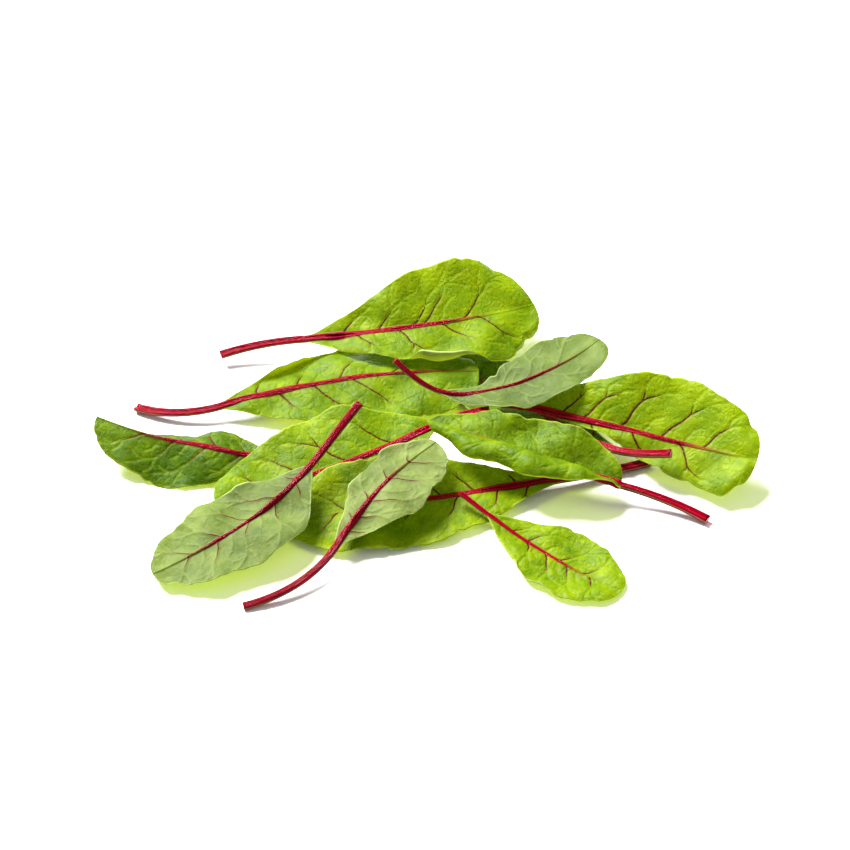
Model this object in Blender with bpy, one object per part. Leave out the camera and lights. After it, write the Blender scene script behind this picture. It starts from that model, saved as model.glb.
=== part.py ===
"""A small heap of twelve cut young swiss chard leaves, lying on a flat surface.

Each leaf grew as one piece and is one closed solid: a grooved stalk that runs on as
the midrib of a thin blade. A leaf is a sheet of quads laid along its midrib, wrapped
round into a tube, and drawn to a point at the tip.
"""

from dataclasses import dataclass
from typing import Tuple

import bmesh
import bpy
import numpy as np

MM = 0.001
COLLECTION = "Swiss chard leaves"

# How finely a leaf is divided: along the stalk, along the blade, and on each side of
# the midrib's middle line over the rib and over the blade.
STALK_STEPS = 4
BLADE_STEPS = 18
RIB_STEPS = 1
SIDE_STEPS = 4

BLADE_HALF_THICKNESS = 0.35
TIP_RIB = 0.35  # half width of the midrib where it ends at the tip
EDGE_ROUNDING = 0.12  # share of the half width over which the margin thins out
TIP_CROWDING = 1.35  # over 1 packs the sections closer together at the tip
SEAM_MERGE = 1e-6  # metres

LEAF_GREEN = (0.19, 0.31, 0.018)
LEAF_PALE = (0.33, 0.39, 0.12)

Pair = Tuple[float, float]
Three = Tuple[float, float, float]
Five = Tuple[float, float, float, float, float]


@dataclass(frozen=True)
class Leaf:
    """One leaf, in millimetres and degrees. A pair is the left and the right side,
    seen from above and looking from the stalk's cut end to the tip."""

    name: str
    foot: Pair  # where the cut end of the stalk is on the ground plan
    heading: float  # way the stalk sets out, from +X towards +Y
    turn: Pair  # how far it turns over the stalk, and over the blade
    stalk: float  # length from the cut end to the blade
    blade: float  # length from there to the tip
    rise: Five  # height of the midrib at five even steps from the cut end to the tip
    width: Pair  # greatest half width, beyond the midrib
    roll: Three = (0, 0, 0)  # lift of the left side, at the cut end, middle and tip
    fold_left: Three = (0, 0, 0)  # lift from the midrib, at the base, middle and tip
    fold_right: Three = (0, 0, 0)
    curl_left: Three = (0, 0, 0)  # further bend between the midrib and the margin
    curl_right: Three = (0, 0, 0)
    fullest: Pair = (0.58, 0.58)  # share of the blade's length at its widest
    taper: Pair = (1.2, 1.2)  # over 1 draws the blade in along the stalk
    blunt: Pair = (0.5, 0.5)  # under 0.5 makes a squarer tip
    ruffle: Pair = (1.5, 1.5)  # height of the waves along each margin
    waves: float = 3.0
    thickness: Pair = (2.2, 1.9)  # half width of the stalk, at the cut and the blade
    face_up: bool = True  # False where the leaf lies with its underside up


LEAVES = (
    # Lowest, with its stalk over the right-hand leaf and its blade under the others.
    Leaf(
        name="leaf_center_buried",
        foot=(101, -37),
        heading=165,
        turn=(-23, -18),
        stalk=24,
        blade=108,
        rise=(16.4, 7.0, 6.4, 3.0, 2.4),
        width=(18, 17),
        fold_left=(10, 5, 0),
        fold_right=(10, 5, 0),
    ),
    # At the far left, with its near side curled down to the surface.
    Leaf(
        name="leaf_far_left_curled",
        foot=(-51, -33),
        heading=145,
        turn=(30, -14),
        stalk=12,
        blade=78,
        rise=(4.4, 7.4, 9.9, 11.4, 15.4),
        width=(20, 13),
        roll=(-10, -33, -25),
        fold_left=(0, 5, 10),
        fold_right=(0, -60, -90),
        fullest=(0.55, 0.4),
        ruffle=(1, 1),
        thickness=(2.0, 1.6),
    ),
    # Long leaf at the left, its stalk on the surface and its tip on the buried leaf.
    Leaf(
        name="leaf_left_long",
        foot=(-125, 10),
        heading=-31,
        turn=(49, -14),
        stalk=38,
        blade=114,
        rise=(2.1, 6, 9, 10, 8),
        width=(22, 26),
        roll=(5, 12, 10),
        fold_left=(0, -10, -10),
        fold_right=(5, 0, 0),
        curl_left=(0, -20, 0),
        fullest=(0.58, 0.6),
        taper=(1.3, 1.0),
        blunt=(0.42, 0.36),
    ),
    # Long leaf at the front, lying nearly flat on the surface.
    Leaf(
        name="leaf_front_long",
        foot=(94, -26),
        heading=-157,
        turn=(-9, -1),
        stalk=40,
        blade=118,
        rise=(2.1, 3.6, 4.0, 4.8, 3.3),
        width=(23.5, 22),
        fold_left=(5, -5, 0),
        fold_right=(20, 22, 15),
        fullest=(0.6, 0.74),
        blunt=(0.5, 0.8),
        ruffle=(1, 1),
    ),
    # Broad leaf left of the middle.
    Leaf(
        name="leaf_left_broad",
        foot=(27, -7),
        heading=-173,
        turn=(26, -17),
        stalk=24,
        blade=100,
        rise=(14.6, 12.6, 10.6, 8.6, 7.6),
        width=(15, 26),
        fold_left=(-5, -22, -25),
        fold_right=(15, 15, 5),
        fullest=(0.35, 0.42),
        taper=(1.2, 0.9),
    ),
    # Broad leaf at the right, its far side lifted.
    Leaf(
        name="leaf_right_broad",
        foot=(32, -3),
        heading=-1,
        turn=(-14, -11),
        stalk=13,
        blade=98,
        rise=(15, 13, 12, 12, 14),
        width=(27, 19),
        roll=(25, 28, 22),
        fold_left=(10, 8, 5),
        fold_right=(5, 5, 0),
        fullest=(0.6, 0.9),
        taper=(0.9, 2.6),
        blunt=(0.46, 0.36),
    ),
    # Large leaf at the back, tilted up on the ones below it.
    Leaf(
        name="leaf_back_tall",
        foot=(-91, 43),
        heading=19,
        turn=(-24, 33),
        stalk=38,
        blade=106,
        rise=(5, 10, 14.4, 15.5, 13.5),
        width=(29.5, 26),
        roll=(10, 12, 10),
        fold_left=(20, 20, 10),
        fold_right=(10, 4, -8),
        fullest=(0.7, 0.68),
        taper=(1.35, 1.2),
        blunt=(0.38, 0.48),
    ),
    # Leaf folded in half along its midrib, over the front long leaf's stalk.
    Leaf(
        name="leaf_folded",
        foot=(115, -62),
        heading=146,
        turn=(21, -14),
        stalk=38,
        blade=84,
        rise=(2.2, 6.5, 11.5, 16.5, 18),
        width=(17, 17),
        roll=(0, 20, 10),
        fold_left=(60, 60, 40),
        fold_right=(50, 40, 20),
        curl_left=(-60, -150, -120),
        fullest=(0.4, 0.35),
        taper=(0.7, 0.5),
        blunt=(0.6, 0.6),
    ),
    # Small leaf on top, underside up, its stalk held clear of the heap.
    Leaf(
        name="leaf_top_turned",
        foot=(-13, 11),
        heading=-40,
        turn=(31, 53),
        stalk=19,
        blade=77,
        rise=(27, 15.6, 17.8, 22.6, 27),
        width=(17, 15.5),
        fullest=(0.7, 0.55),
        taper=(1.6, 1.6),
        blunt=(0.4, 0.36),
        thickness=(1.5, 1.25),
        face_up=False,
    ),
    # Underside up, lying across the front long leaf, its stalk on the surface.
    Leaf(
        name="leaf_front_turned",
        foot=(-71, -111),
        heading=13,
        turn=(50, -20),
        stalk=47,
        blade=66,
        rise=(1.0, 4.6, 9.5, 14.5, 16.5),
        width=(12, 19),
        fullest=(0.64, 0.58),
        taper=(1.2, 1.2),
        blunt=(0.45, 0.45),
        thickness=(1.9, 1.6),
        face_up=False,
    ),
    # Underside up, leaning down from the top of the heap to the left front.
    Leaf(
        name="leaf_left_turned",
        foot=(-27, -24),
        heading=-134,
        turn=(6, -26),
        stalk=31,
        blade=78,
        rise=(32, 19, 12, 8, 4),
        width=(20, 20),
        fullest=(0.42, 0.5),
        taper=(1.0, 1.0),
        blunt=(0.42, 0.42),
        thickness=(1.9, 1.6),
        face_up=False,
    ),
    # Small leaf at the front right, flat on the surface.
    Leaf(
        name="leaf_front_small",
        foot=(14, -54),
        heading=-37,
        turn=(-2, -1),
        stalk=14,
        blade=66,
        rise=(9.6, 4.5, 1.4, 1.1, 1.6),
        width=(17, 17.5),
        fold_left=(5, 5, 5),
        fold_right=(5, 5, 5),
        blunt=(0.45, 0.45),
        ruffle=(0.6, 0.6),
        thickness=(1.2, 1.0),
    ),
)


def smooth_through(values, where):
    """A smooth curve through evenly spaced values, read at shares from 0 to 1."""
    known = np.asarray(values, float)
    steps = len(known) - 1
    place = np.clip(where, 0, 1 - 1e-9) * steps
    first = place.astype(int)
    part = place - first
    ends = (2 * known[0] - known[1], 2 * known[-1] - known[-2])
    padded = np.concatenate([ends[:1], known, ends[1:]])
    a, b, c, d = (padded[first + offset] for offset in range(4))
    straight = 2 * b + (c - a) * part
    bend = (2 * a - 5 * b + 4 * c - d) * part**2
    twist = (3 * b - a - 3 * c + d) * part**3
    return 0.5 * (straight + bend + twist)


def ease(value):
    """0 up to 0, 1 from 1 on, and smooth between."""
    held = np.clip(value, 0, 1)
    return held * held * (3 - 2 * held)


def stations(leaf):
    """Shares of the whole length at which the leaf has a section."""
    length = leaf.stalk + leaf.blade
    along_stalk = np.linspace(0, leaf.stalk, STALK_STEPS, endpoint=False)
    even = np.linspace(0, 1, BLADE_STEPS + 1)
    along_blade = leaf.stalk + leaf.blade * (1 - (1 - even) ** TIP_CROWDING)
    return np.concatenate([along_stalk, along_blade]) / length


def midrib(leaf, share):
    """Points of the midrib, with the directions to the left side and out of the leaf."""
    length = leaf.stalk + leaf.blade
    fine = np.linspace(0, 1, 401)
    corner = leaf.stalk / length
    turned = np.interp(fine, [0, corner, 1], [0, leaf.turn[0], sum(leaf.turn)])
    way = np.radians(leaf.heading + turned)
    middle = 0.5 * (way[1:] + way[:-1])
    step = length * fine[1]
    x = leaf.foot[0] + step * np.concatenate([[0], np.cumsum(np.cos(middle))])
    y = leaf.foot[1] + step * np.concatenate([[0], np.cumsum(np.sin(middle))])
    z = smooth_through(leaf.rise, fine)
    line = np.stack([np.interp(share, fine, axis) for axis in (x, y, z)], 1)
    climb = np.arctan(np.interp(share, fine, np.gradient(z, step)))
    way = np.interp(share, fine, way)
    level = np.cos(climb)
    ahead = np.stack([np.cos(way) * level, np.sin(way) * level, np.sin(climb)], 1)
    left = np.stack([-np.sin(way), np.cos(way), 0 * way], 1)
    out = np.cross(ahead, left)
    roll = np.radians(smooth_through(leaf.roll, share))[:, None]
    rolled_left = left * np.cos(roll) + out * np.sin(roll)
    rolled_out = out * np.cos(roll) - left * np.sin(roll)
    return line, rolled_left, rolled_out


def outline(leaf, side, along):
    """Share of the greatest half width at each share of the blade's length."""
    full = leaf.fullest[side]
    rising = np.sin(0.5 * np.pi * np.clip(along / full, 0, 1)) ** leaf.taper[side]
    past = np.clip((along - full) / (1 - full), 0, 1)
    falling = (1 - past**2) ** leaf.blunt[side]
    return np.where(along < full, rising, falling)


def side_columns(rib, half, bladed):
    """Distances from the midrib's middle line, one row a section: spread round the
    stalk's section where there is no blade, and across the rib and blade elsewhere."""
    round_steps = RIB_STEPS + SIDE_STEPS
    angle = np.linspace(0, np.pi / 2, round_steps + 1)
    on_stalk = half[:, None] * np.sin(angle)
    on_rib = rib[:, None] * np.linspace(0, 1, RIB_STEPS + 1)
    beyond = (half - rib)[:, None] * np.linspace(0, 1, SIDE_STEPS + 1)[1:]
    on_blade = np.concatenate([on_rib, rib[:, None] + beyond], 1)
    return on_stalk + bladed[:, None] * (on_blade - on_stalk)


def upper_and_lower(across, distance, rib, half):
    """Offsets of the leaf's upper and lower face from its middle surface: a channelled
    stalk that flattens into the midrib, between the two wings of the blade."""
    past = np.clip(distance / rib, 0, 1)
    ridge = 1 - past**2
    dome = np.sqrt(ridge)
    groove = 0.4 * np.exp(-((past / 0.45) ** 2))
    channel = dome * (0.62 - groove)
    margin = np.clip((1 - across) / EDGE_ROUNDING, 0, 1) ** 0.5
    wing = (half - rib) / rib
    sheet = BLADE_HALF_THICKNESS * margin * np.clip(wing, 0, 1) ** 0.5
    flat = ease(wing / 9)
    upper = sheet + rib * (channel + flat * (0.3 * ridge - channel))
    lower = -sheet - rib * (0.95 * dome + flat * (0.9 * ridge - 0.95 * dome))
    return upper, lower


def half_faces(leaf, side, share, frame):
    """Points of the upper and of the lower face on one side, from midrib to margin."""
    line, left, out = frame
    length = leaf.stalk + leaf.blade
    along = np.clip((share * length - leaf.stalk) / leaf.blade, 0, 1)
    ends = [leaf.thickness[0], leaf.thickness[1], TIP_RIB]
    rib = np.interp(share, [0, leaf.stalk / length, 1], ends)
    half = rib + leaf.width[side] * outline(leaf, side, along)
    bladed = ease((half - rib) / (3 * rib))
    distance = side_columns(rib, half, bladed)
    across = distance / half[:, None]

    fold = (leaf.fold_left, leaf.fold_right)[side]
    curl = (leaf.curl_left, leaf.curl_right)[side]
    lift = (np.radians(smooth_through(fold, along)) * bladed)[:, None]
    bend = (np.radians(smooth_through(curl, along)) * bladed)[:, None] * across
    chord = distance * np.sinc(0.5 * bend / np.pi)
    reach = chord * np.cos(lift + 0.5 * bend)
    height = chord * np.sin(lift + 0.5 * bend)

    wave = np.sin(2 * np.pi * leaf.waves * along + 2.0 * side)
    wave = leaf.ruffle[side] * wave * np.sin(np.pi * along) ** 0.7
    ruffle = wave[:, None] * across**2
    sign = (1, -1)[side]
    faces = []
    section = (rib[:, None], half[:, None])
    for offset in upper_and_lower(across, distance, *section):
        away = ruffle + offset * (1 if leaf.face_up else -1)
        sideways = sign * (reach - np.sin(lift + bend) * away)
        upwards = height + np.cos(lift + bend) * away
        point = line[:, None] + left[:, None] * sideways[..., None]
        faces.append(point + out[:, None] * upwards[..., None])
    return faces


def leaf_sections(leaf):
    """Points of each section in order round it, with the first repeated at the end."""
    share = stations(leaf)
    frame = midrib(leaf, share)
    left_upper, left_lower = half_faces(leaf, 0, share, frame)
    right_upper, right_lower = half_faces(leaf, 1, share, frame)
    upper = [left_upper[:, ::-1], right_upper[:, 1:]]
    lower = [right_lower[:, -2::-1], left_lower[:, 1:]]
    rounds = np.concatenate(upper + lower, 1)
    rounds[-1] = frame[0][-1]
    return rounds * MM


def leaf_mesh(leaf):
    """The leaf's closed mesh, from a grid wrapped into a tube along the midrib."""
    rounds = leaf_sections(leaf)
    rows, columns = rounds.shape[:2]
    bm = bmesh.new()
    bmesh.ops.create_grid(bm, x_segments=columns - 1, y_segments=rows - 1, size=1)
    bm.verts.ensure_lookup_table()
    for vert, point in zip(bm.verts, rounds.reshape(-1, 3)):
        vert.co = point
    bmesh.ops.remove_doubles(bm, verts=bm.verts[:], dist=SEAM_MERGE)
    cut_end = [edge for edge in bm.edges if edge.is_boundary]
    bmesh.ops.contextual_create(bm, geom=cut_end)
    bmesh.ops.triangulate(bm, faces=bm.faces[:])
    bmesh.ops.recalc_face_normals(bm, faces=bm.faces[:])
    if bm.calc_volume(signed=True) < 0:
        bmesh.ops.reverse_faces(bm, faces=bm.faces[:])
    mesh = bpy.data.meshes.new(leaf.name)
    bm.to_mesh(mesh)
    bm.free()
    return mesh


def leaf_material(leaf):
    """Glossy green where the upper side shows, paler and duller where it is turned."""
    material = bpy.data.materials.new(leaf.name)
    material.use_nodes = True
    shader = material.node_tree.nodes["Principled BSDF"]
    colour = LEAF_GREEN if leaf.face_up else LEAF_PALE
    shader.inputs["Base Color"].default_value = (*colour, 1)
    shader.inputs["Roughness"].default_value = 0.4 if leaf.face_up else 0.6
    shader.inputs["Metallic"].default_value = 0
    return material


def rest_on_origin(objects):
    """Moves the heap so that the middle of its box's underside is at the origin."""
    points = [vert.co for thing in objects for vert in thing.data.vertices]
    box = np.array(points)
    low, high = box.min(0), box.max(0)
    middle = 0.5 * (low + high)
    for thing in objects:
        for vert in thing.data.vertices:
            vert.co -= type(vert.co)((middle[0], middle[1], low[2]))


def main():
    """Clears the scene and builds the heap."""
    for thing in list(bpy.data.objects):
        bpy.data.objects.remove(thing, do_unlink=True)
    collection = bpy.data.collections.new(COLLECTION)
    bpy.context.scene.collection.children.link(collection)
    objects = []
    for leaf in LEAVES:
        thing = bpy.data.objects.new(leaf.name, leaf_mesh(leaf))
        thing.data.materials.append(leaf_material(leaf))
        collection.objects.link(thing)
        objects.append(thing)
    rest_on_origin(objects)


if __name__ == "__main__":
    main()
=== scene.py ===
"""A loose bunch of cut young swiss chard leaves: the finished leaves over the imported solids.

Every leaf is worked out from its midrib, as the solid that it stands for is, and then gets
what a real leaf has: a waved and lobed margin, side veins that fork, the quilting between
them, a grooved stalk and a cut end. Lengths are in millimetres until a mesh is written.
"""

import logging
import math
from dataclasses import dataclass, field
from enum import Enum
from functools import partial
from typing import Callable, Dict, List, Optional, Tuple, Union

import bmesh
import bpy
import numpy as np
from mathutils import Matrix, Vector


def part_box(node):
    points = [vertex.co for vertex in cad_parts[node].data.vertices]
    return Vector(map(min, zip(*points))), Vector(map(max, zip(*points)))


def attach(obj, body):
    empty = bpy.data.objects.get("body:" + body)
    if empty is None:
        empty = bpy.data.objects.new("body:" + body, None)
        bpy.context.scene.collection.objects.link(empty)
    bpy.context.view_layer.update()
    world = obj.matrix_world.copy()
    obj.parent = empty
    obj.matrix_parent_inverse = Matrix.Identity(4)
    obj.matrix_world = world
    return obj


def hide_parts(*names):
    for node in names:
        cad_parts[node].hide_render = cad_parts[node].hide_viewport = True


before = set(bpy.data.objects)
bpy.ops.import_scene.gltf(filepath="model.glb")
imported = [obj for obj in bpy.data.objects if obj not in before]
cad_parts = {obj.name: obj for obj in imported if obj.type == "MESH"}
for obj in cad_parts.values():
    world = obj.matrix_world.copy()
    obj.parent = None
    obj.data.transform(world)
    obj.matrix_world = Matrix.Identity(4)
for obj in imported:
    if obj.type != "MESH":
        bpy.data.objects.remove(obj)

MM = 0.001
SEAM_MERGE = 1e-6  # metres
FLOOR_GAP = 0.05  # millimetres that the lowest points stay over the surface
CUT_RIM, CUT_DIP = 0.22, 0.12  # width of a cut end's rim, and depth of its middle
VEINS_AT_ONCE = 3000  # places that are measured together, to hold memory down
log = logging.getLogger("swiss_chard")

Array = np.ndarray
Rng = np.random.Generator
Socket = bpy.types.NodeSocket
Adder = Callable[..., Socket]
Pair = Tuple[float, float]
Three = Tuple[float, float, float]
Five = Tuple[float, float, float, float, float]


class Side(Enum):
    """A side of the midrib, seen from above and looking from the cut end to the tip."""

    LEFT = 0
    RIGHT = 1

    @property
    def sign(self) -> int:
        """1 to the left, -1 to the right."""
        return 1 - 2 * self.value


class Lie(Enum):
    """Which face of a leaf is turned up."""

    UPPER_SIDE_UP = 1
    UNDERSIDE_UP = -1


class Skin(Enum):
    """The faces of a leaf, by their material's place on its mesh."""

    UPPER = 0
    UNDER = 1
    CUT = 2


def linear(code: str) -> Tuple[float, float, float, float]:
    """Turns an sRGB hex colour to linear.

    Args:
        code: The colour as six hex digits.

    Returns:
        Linear red, green and blue, and an alpha of 1.
    """
    shares = [int(code[i : i + 2], 16) / 255 for i in (0, 2, 4)]
    lin = [s / 12.92 if s <= 0.04045 else ((s + 0.055) / 1.055) ** 2.4 for s in shares]
    return (lin[0], lin[1], lin[2], 1.0)


def smooth_through(values: Tuple[float, ...], where: Array) -> Array:
    """Reads a smooth curve through evenly spaced values.

    Args:
        values: The values, the first at 0 and the last at 1.
        where: Shares from 0 to 1.

    Returns:
        The curve's values there.
    """
    known = np.asarray(values, float)
    steps = len(known) - 1
    place = np.clip(where, 0, 1 - 1e-9) * steps
    first = place.astype(int)
    part = place - first
    ends = (2 * known[0] - known[1], 2 * known[-1] - known[-2])
    padded = np.concatenate([ends[:1], known, ends[1:]])
    a, b, c, d = (padded[first + offset] for offset in range(4))
    straight = 2 * b + (c - a) * part
    bend = (2 * a - 5 * b + 4 * c - d) * part**2
    twist = (3 * b - a - 3 * c + d) * part**3
    return 0.5 * (straight + bend + twist)


def ease(value: Array) -> Array:
    """0 up to 0, 1 from 1 on, and smooth between."""
    held = np.clip(value, 0, 1)
    return held * held * (3 - 2 * held)


def waves(where: Array, lengths: Tuple[float, ...], rng: Rng) -> Array:
    """Adds sine waves of unlike lengths and random phases.

    Args:
        where: Places in millimetres.
        lengths: The waves' lengths in millimetres.
        rng: Source of the phases.

    Returns:
        A wandering value of about -1 to 1 at each place.
    """
    phases = rng.uniform(0, 2 * math.pi, len(lengths))
    parts = [np.sin(2 * math.pi * where / l + p) for l, p in zip(lengths, phases)]
    return sum(parts) / math.sqrt(len(lengths))


@dataclass(frozen=True)
class Division:
    """How finely a leaf is divided."""

    stalk: int
    blade: int
    rib: int  # from the midrib's middle line to its edge
    side: int  # from there to the margin
    tip_crowding: float  # over 1 packs the sections closer together at the tip


AS_PACKED = Division(stalk=4, blade=18, rib=1, side=4, tip_crowding=1.35)
FINISHED = Division(stalk=26, blade=214, rib=6, side=28, tip_crowding=1.8)


@dataclass(frozen=True)
class Flat:
    """One side of a leaf laid flat: a row for each section and a column for each point from
    the midrib to the margin. What a section has only once is a single column."""

    side: Side
    along: Array  # share of the blade's length, a single column
    place: Array  # distance from the blade's base, a single column
    rib: Array  # half width of the midrib, a single column
    half: Array  # half width of the leaf, a single column
    bladed: Array  # 0 on the stalk and 1 on the blade, a single column
    distance: Array  # from the midrib's middle line

    @property
    def across(self) -> Array:
        """Share of the half width."""
        return self.distance / self.half

    @property
    def margin(self) -> Array:
        """Distance from the margin."""
        return self.half - self.distance


@dataclass(frozen=True)
class Notch:
    """A dent in a leaf's margin."""

    side: Side
    place: float  # share of the blade's length
    depth: float
    spread: float  # half width along the blade


@dataclass(frozen=True)
class Rim:
    """A stretch of a leaf's margin that is rolled up or down."""

    side: Side
    first: float  # share of the blade's length at which it begins
    last: float
    reach: float  # width of the rolled strip
    angle: float  # how far the margin itself is turned up, in degrees

    def turned(self, flat: Flat) -> Array:
        """Works out the roll, which runs out towards both ends of its stretch.

        Args:
            flat: The side of the leaf.

        Returns:
            The angle in radians by which the blade is turned up at each point.
        """
        ends = 0.3 * (self.last - self.first)
        inside = ease((flat.along - self.first) / ends) * ease((self.last - flat.along) / ends)
        strip = self.reach * (0.4 + 0.6 * inside)
        return math.radians(self.angle) * inside * ease(1 - flat.margin / strip)


@dataclass
class VeinNet:
    """The side veins of one side of a leaf, as straight pieces on its flattened blade. Along
    is from the blade's base to its tip, and across from the midrib, positive to the left."""

    side: Side
    arch: float  # degrees that a vein leans back towards the tip near the margin
    pieces: List[Array] = field(default_factory=list)
    steps: int = 14  # pieces of a side vein
    fork_steps: int = 8
    wander: float = 11.0  # degrees

    def grow(
        self, start: Array, length: float, way: Pair, red: Pair, width: float, rng: Rng, steps: int
    ) -> Array:
        """Adds one vein.

        Args:
            start: Where it begins, along and across.
            length: Its length.
            way: Its angle from the midrib at its start, and soon after.
            red: How red it is at its start, and the share at which that has gone.
            width: Its strength at the start, from 0 to 1.
            rng: Source of its wandering.
            steps: How many straight pieces it is made of.

        Returns:
            Its points, along and across.
        """
        share = (np.arange(steps) + 0.5) / steps
        angle = way[0] + (way[1] - way[0]) * ease(share / 0.2)
        angle = angle - self.arch * ease((share - 0.3) / 0.7)
        angle = angle + self.wander * waves(share, (0.9, 0.5, 0.27), rng)
        turn = np.radians(angle)
        move = np.stack([np.cos(turn), self.side.sign * np.sin(turn)], 1) * length / steps
        points = np.concatenate([start[None], start + np.cumsum(move, 0)])
        knots = np.linspace(0, 1, steps + 1)
        fade = red[0] * np.clip(1 - knots / red[1], 0, 1) ** 0.5
        thin = width * (1 - 0.75 * knots)
        rows = np.column_stack([points, fade, thin])
        self.pieces.append(np.stack([rows[:-1], rows[1:]]))
        return points

    def join(self) -> None:
        """Puts the pieces of all the veins together, with their redness and width at each end."""
        first, last = np.concatenate(self.pieces, 1).astype(np.float32)
        self.start, self.run = first[:, :2], last[:, :2] - first[:, :2]
        self.length = np.linalg.norm(self.run, axis=1)
        self.first_look, self.last_look = first[:, 2:], last[:, 2:]

    def nearest(self, places: Array) -> Tuple[Array, Array]:
        """Finds the piece of vein nearest to each place.

        Args:
            places: Rows of along and across.

        Returns:
            The pieces' numbers, and the distances to them.
        """
        found = np.zeros(len(places), int)
        far = np.zeros(len(places), np.float32)
        for low in range(0, len(places), VEINS_AT_ONCE):
            some = places[low : low + VEINS_AT_ONCE].astype(np.float32)
            gap = some[:, None] - self.start[None]
            share = (gap * self.run).sum(2) / self.length**2
            gap -= np.clip(share, 0, 1)[..., None] * self.run
            apart = (gap * gap).sum(2)
            best = apart.argmin(1)
            found[low : low + VEINS_AT_ONCE] = best
            far[low : low + VEINS_AT_ONCE] = np.sqrt(apart[np.arange(len(some)), best])
        return found, far

    def beside(self, places: Array, piece: Array) -> Tuple[Array, Array, Array]:
        """Measures places against given pieces of vein.

        Args:
            places: Rows of along and across.
            piece: The number of the piece for each place.

        Returns:
            The signed distance from the piece's line, and the vein's redness and width there.
        """
        gap = places - self.start[piece]
        run = self.run[piece] / self.length[piece][:, None]
        share = (gap * run).sum(1) / self.length[piece]
        held = np.clip(share, 0, 1)
        off = gap[:, 0] * run[:, 1] - gap[:, 1] * run[:, 0]
        past = np.maximum(np.maximum(-share, share - 1), 0) * self.length[piece]
        off = np.where(past > 0.3, np.sign(off) * np.hypot(off, past), off)
        held = held[:, None]
        red, width = (self.first_look[piece] * (1 - held) + self.last_look[piece] * held).T
        return off, red, width


FORKS = ((7, 30), (10, -34))  # piece of a side vein after which it forks, and the swing in degrees
FORK_STRENGTH, SMALL_VEIN_STRENGTH = 0.45, 0.35  # of a side vein's

# Least and most of what one vein has of the usual length, redness or swing.
VEIN_LENGTH, VEIN_REDNESS, VEIN_REACH = (0.92, 1.08), (0.75, 1.0), (0.8, 1.15)
FORK_LENGTH, FORK_SWING = (0.6, 0.95), (0.8, 1.2)
SMALL_VEIN_LENGTH, SMALL_VEIN_PLACE = (0.35, 0.5), (0.35, 0.65)

# Lengths in millimetres of the waves that shape a leaf.
LOBES, TEETH, TOOTH_SHARE = (63.0, 37.0, 22.0), (9.0, 5.3), 0.16
SWELLS, FRILLS, FRILL_SKEW = (47.0, 29.0), (21.0, 12.0, 7.3), (14.0, 9.0)

# Section of the stalk, and of the rib under the broad blade, in shares of its half width.
STALK_TOP, STALK_UNDER = 0.62, 0.95
STALK_GROOVE, GROOVE_WIDTH = 0.4, 0.45
RIB_TOP, RIB_UNDER = 0.3, 0.9


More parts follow.
